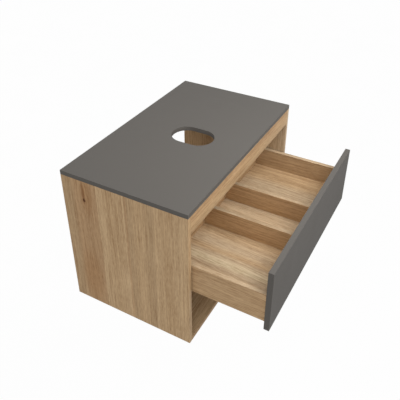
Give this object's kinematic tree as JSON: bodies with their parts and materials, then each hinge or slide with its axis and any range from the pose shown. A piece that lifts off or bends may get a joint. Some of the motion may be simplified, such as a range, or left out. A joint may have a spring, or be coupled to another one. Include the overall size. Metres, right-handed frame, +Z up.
{
  "type": "wall hung vanity base unit",
  "caption": "Wall-hung vanity base in oak decor: grey top with a rounded waste cut-out, inset grey handle-less drawer with dividers, standing open above an open niche.",
  "frame": {"origin": "centre of the back rail's rear face, in the wall plane, on the unit's centre line, 436.5 mm above the underside", "axes": "+Z up, +X along the width, to the right as seen from the room, +Y into the wall, so the drawer opens towards -Y"},
  "size_m": [0.8, 0.7465, 0.55],
  "materials": {
    "oak_board": "satin oak-decor melamine with a fine pore texture",
    "grey_board": "matt warm grey laminate on board",
    "steel": "bright galvanised sheet steel",
    "zinc": "dull nickel-plated die-cast zinc",
    "dark_plastic": "fine-textured moulded plastic"
  },
  "bodies": {
    "carcass": {"countertop": "grey_board", "side_panel_left": "oak_board", "side_panel_right": "oak_board", "bottom_panel": "oak_board", "front_rail": "oak_board", "back_rail": "oak_board", "niche_back": "oak_board", "cam_bottom_rear_left": "zinc", "cam_bottom_front_left": "zinc", "cam_front_rail_left": "zinc", "cam_back_rail_left": "zinc", "cam_top_rear_left": "zinc", "cam_top_front_left": "zinc", "cam_bottom_rear_right": "zinc", "cam_bottom_front_right": "zinc", "cam_front_rail_right": "zinc", "cam_back_rail_right": "zinc", "cam_top_rear_right": "zinc", "cam_top_front_right": "zinc", "cam_bolt_bottom_rear_left": "steel", "cam_bolt_bottom_front_left": "steel", "cam_bolt_front_rail_left": "steel", "cam_bolt_back_rail_left": "steel", "cam_bolt_top_rear_left": "steel", "cam_bolt_top_front_left": "steel", "cam_bolt_bottom_rear_right": "steel", "cam_bolt_bottom_front_right": "steel", "cam_bolt_front_rail_right": "steel", "cam_bolt_back_rail_right": "steel", "cam_bolt_top_rear_right": "steel", "cam_bolt_top_front_right": "steel", "hanger_housing_left": "steel", "height_screw_left": "zinc", "depth_screw_left": "zinc", "cabinet_rail_left": "steel", "hanger_housing_right": "steel", "height_screw_right": "zinc", "depth_screw_right": "zinc", "cabinet_rail_right": "steel"},
    "drawer": {"drawer_front": "grey_board", "drawer_inner_front": "oak_board", "drawer_side_left": "oak_board", "drawer_side_right": "oak_board", "drawer_floor": "oak_board", "drawer_back": "oak_board", "divider_left": "oak_board", "divider_right": "oak_board", "front_screw_1": "zinc", "front_screw_2": "zinc", "front_screw_3": "zinc", "drawer_rail_left": "steel", "drawer_rail_right": "steel", "clip_body_left": "dark_plastic", "clip_body_right": "dark_plastic"},
    "middle_rail_left": {"middle_rail_left": "steel"},
    "clip_lever_left": {"clip_lever_left": "dark_plastic"},
    "hanger_hook_left": {"hanger_hook_left": "steel"},
    "middle_rail_right": {"middle_rail_right": "steel"},
    "clip_lever_right": {"clip_lever_right": "dark_plastic"},
    "hanger_hook_right": {"hanger_hook_right": "steel"}
  },
  "joints": [
    {"name": "drawer_slide", "type": "slide", "parent": "carcass", "child": "drawer", "axis": [0, -1, 0], "range_m": [-0.2665, 0.0935]},
    {"name": "middle_rail_slide_left", "type": "slide", "parent": "carcass", "child": "middle_rail_left", "axis": [0, -1, 0], "range_m": [-0.13325, 0.04675]},
    {"name": "clip_lever_left", "type": "hinge", "parent": "drawer", "child": "clip_lever_left", "pos_m": [-0.3245, -0.7195, -0.2075], "axis": [0, 0, -1], "range_deg": [0, 14], "stiffness_Nm_per_rad": 0.05, "springref_deg": -5.73},
    {"name": "middle_rail_slide_right", "type": "slide", "parent": "carcass", "child": "middle_rail_right", "axis": [0, -1, 0], "range_m": [-0.13325, 0.04675]},
    {"name": "clip_lever_right", "type": "hinge", "parent": "drawer", "child": "clip_lever_right", "pos_m": [0.3245, -0.7195, -0.2075], "axis": [0, 0, 1], "range_deg": [0, 14], "stiffness_Nm_per_rad": 0.05, "springref_deg": -5.73},
    {"name": "hanger_hook_left", "type": "slide", "parent": "carcass", "child": "hanger_hook_left", "axis": [0, 0, 1], "range_m": [-0.006, 0.006]},
    {"name": "hanger_hook_right", "type": "slide", "parent": "carcass", "child": "hanger_hook_right", "axis": [0, 0, 1], "range_m": [-0.006, 0.006]}
  ],
  "couplings": [
    {"joint": "middle_rail_slide_left", "follows": "drawer_slide", "ratio": 0.5},
    {"joint": "middle_rail_slide_right", "follows": "drawer_slide", "ratio": 0.5}
  ]
}
